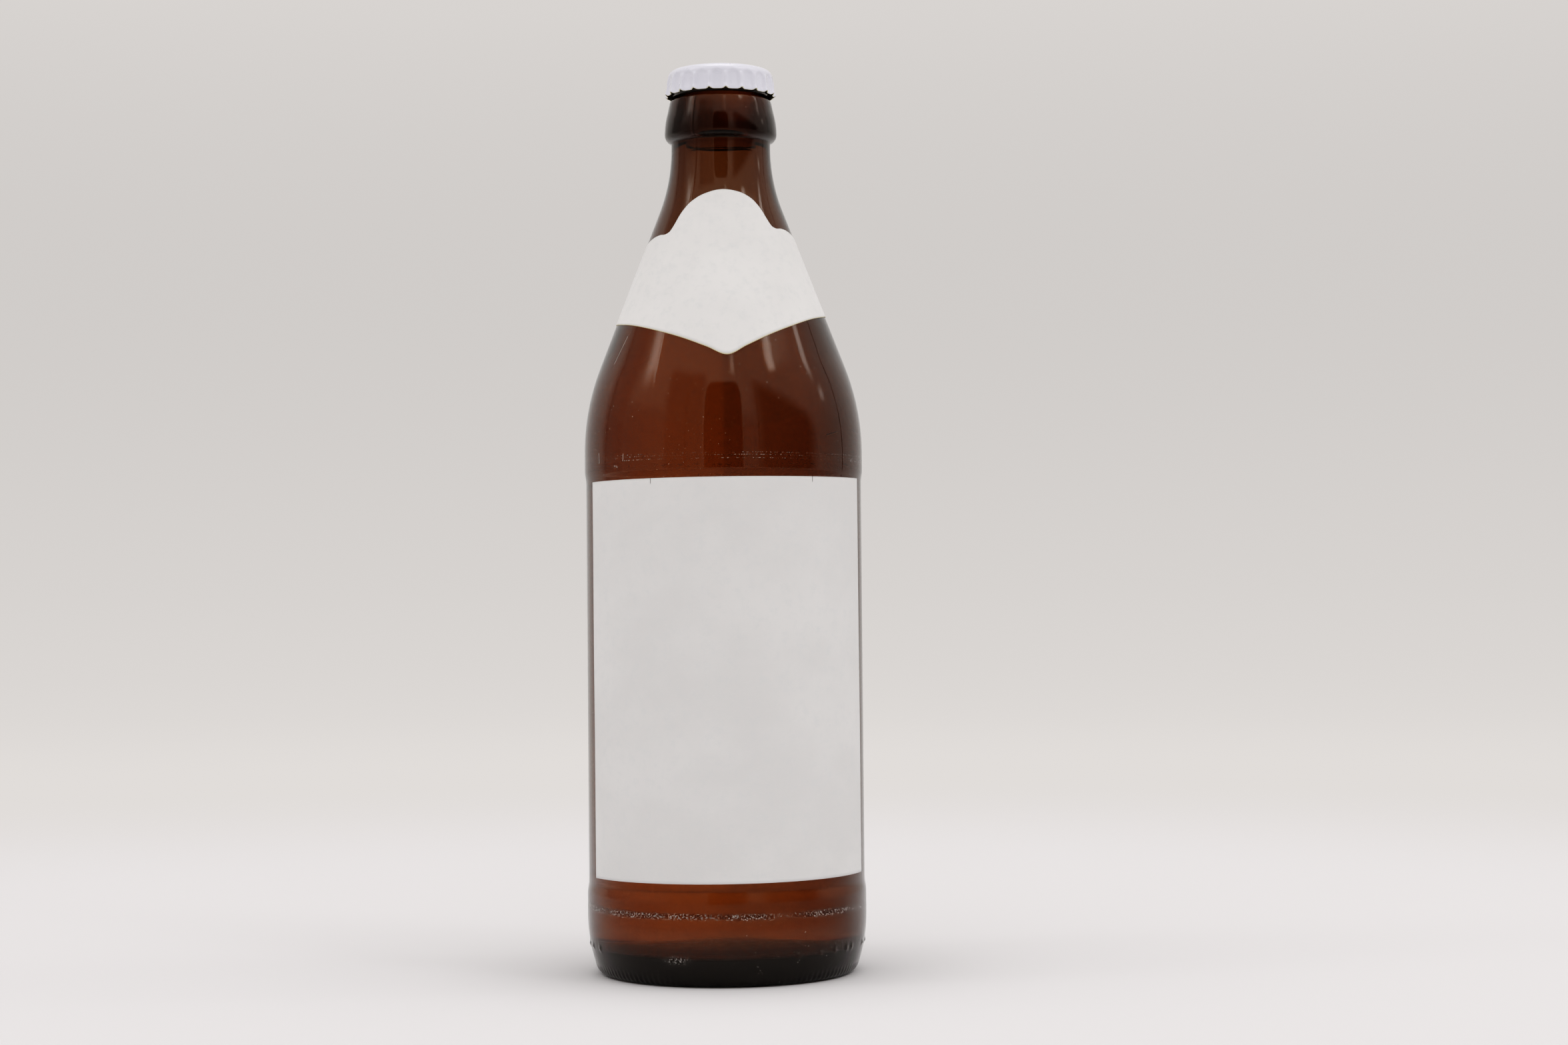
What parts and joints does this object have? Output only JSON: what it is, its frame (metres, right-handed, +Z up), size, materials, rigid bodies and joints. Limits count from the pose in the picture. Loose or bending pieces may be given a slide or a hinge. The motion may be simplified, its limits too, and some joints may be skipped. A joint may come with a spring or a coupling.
{
  "type": "euro beer bottle",
  "caption": "Half-litre returnable amber glass beer bottle, full, with a white crimped crown cap, a blank front label and a blank neck label.",
  "frame": {"origin": "on the bottle's axis, in the plane that it stands on", "axes": "+Z up along the bottle's axis to the cap; the labels face -Y; +X is to the right seen from the front"},
  "size_m": [0.0708, 0.0708, 0.23],
  "materials": {
    "amber_glass": "clear amber-brown bottle glass, glossy, with dull scuffed rings at the shoulder and heel",
    "beer": "clear golden liquid",
    "cap_paint": "glossy white lacquer on crimped tinplate",
    "label_paper": "plain white label paper, faintly mottled, with a cut edge"
  },
  "bodies": {
    "root": {"glass_bottle": "amber_glass", "beer": "beer", "crown_cap": "cap_paint", "front_label": "label_paper", "neck_label": "label_paper"}
  },
  "joints": []
}
